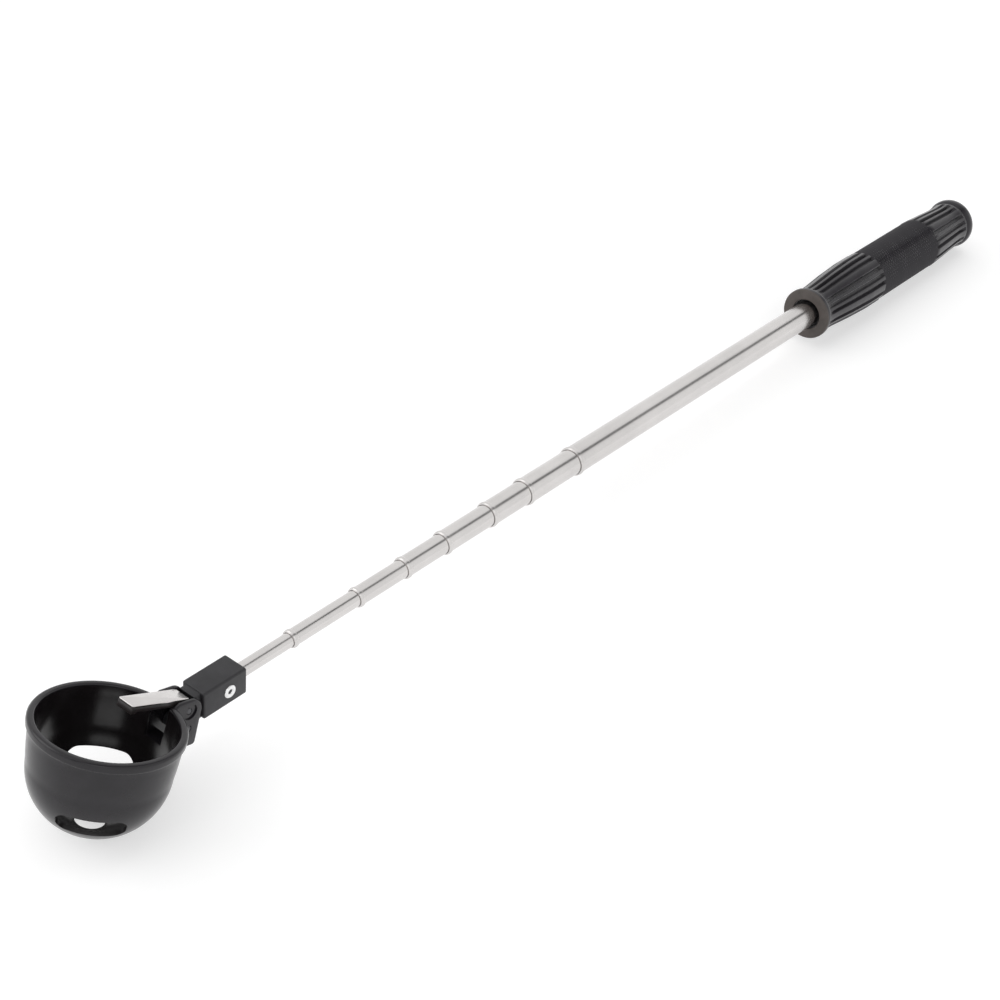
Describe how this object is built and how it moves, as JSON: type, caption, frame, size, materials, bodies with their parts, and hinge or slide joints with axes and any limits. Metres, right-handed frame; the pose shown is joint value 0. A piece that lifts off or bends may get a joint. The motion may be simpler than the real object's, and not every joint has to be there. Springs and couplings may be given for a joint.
{
  "type": "golf ball retriever",
  "caption": "Telescoping steel pole with a ribbed rubber grip and a black scoop cup with a sprung latch flap, for picking golf balls out of water or rough.",
  "frame": {"origin": "centre of the grip's butt face, on the pole's axis", "axes": "+X along the pole towards the scoop, +Z towards the side that the cup's mouth is on, +Y completes a right-handed frame"},
  "size_m": [0.6574, 0.0556, 0.0493],
  "materials": {
    "rubber_grip": "satin ribbed rubber",
    "moulded_core": "moulded, unseen",
    "stainless_tube": "drawn and polished",
    "bush_brass": "thin sleeve",
    "black_moulding": "satin black moulding",
    "cup_moulding": "semi-gloss black moulding",
    "plate_steel": "satin sheet",
    "bright_steel": "bright plated",
    "pin_steel": "blackened pin"
  },
  "bodies": {
    "handle": {"grip_sleeve": "rubber_grip", "grip_core": "moulded_core", "butt_plug": "moulded_core", "tube_1": "stainless_tube"},
    "section_2": {"tube_2": "stainless_tube", "slide_bush_2": "bush_brass"},
    "section_3": {"tube_3": "stainless_tube", "slide_bush_3": "bush_brass"},
    "section_4": {"tube_4": "stainless_tube", "slide_bush_4": "bush_brass"},
    "section_5": {"tube_5": "stainless_tube", "slide_bush_5": "bush_brass"},
    "section_6": {"tube_6": "stainless_tube", "slide_bush_6": "bush_brass"},
    "section_7": {"tube_7": "stainless_tube", "slide_bush_7": "bush_brass"},
    "section_8": {"tube_8": "stainless_tube", "slide_bush_8": "bush_brass", "end_block": "black_moulding", "block_rivet": "bright_steel", "tilt_pin": "pin_steel"},
    "scoop": {"scoop_cup": "cup_moulding", "flap_pin": "pin_steel", "flap_spring": "bright_steel"},
    "flap": {"latch_flap": "black_moulding", "flap_plate": "plate_steel"}
  },
  "joints": [
    {"name": "slide_2", "type": "slide", "parent": "handle", "child": "section_2", "axis": [1, 0, 0], "range_m": [-0.031, 0.1835]},
    {"name": "slide_3", "type": "slide", "parent": "section_2", "child": "section_3", "axis": [1, 0, 0], "range_m": [-0.021, 0.1935]},
    {"name": "slide_4", "type": "slide", "parent": "section_3", "child": "section_4", "axis": [1, 0, 0], "range_m": [-0.0255, 0.189]},
    {"name": "slide_5", "type": "slide", "parent": "section_4", "child": "section_5", "axis": [1, 0, 0], "range_m": [-0.021, 0.1935]},
    {"name": "slide_6", "type": "slide", "parent": "section_5", "child": "section_6", "axis": [1, 0, 0], "range_m": [-0.024, 0.1905]},
    {"name": "slide_7", "type": "slide", "parent": "section_6", "child": "section_7", "axis": [1, 0, 0], "range_m": [-0.033, 0.1815]},
    {"name": "slide_8", "type": "slide", "parent": "section_7", "child": "section_8", "axis": [1, 0, 0], "range_m": [-0.024, 0.1905]},
    {"name": "scoop_tilt", "type": "hinge", "parent": "section_8", "child": "scoop", "pos_m": [0.59633, 0, -0.00523], "axis": [0, 1, 0], "range_deg": [-8, 55]},
    {"name": "flap_swing", "type": "hinge", "parent": "scoop", "child": "flap", "pos_m": [0.595, 0, 0.00207], "axis": [0, 1, 0], "range_deg": [0, 60], "stiffness_Nm_per_rad": 0.02, "springref_deg": -22.92, "deforming": ["flap_spring"]}
  ]
}
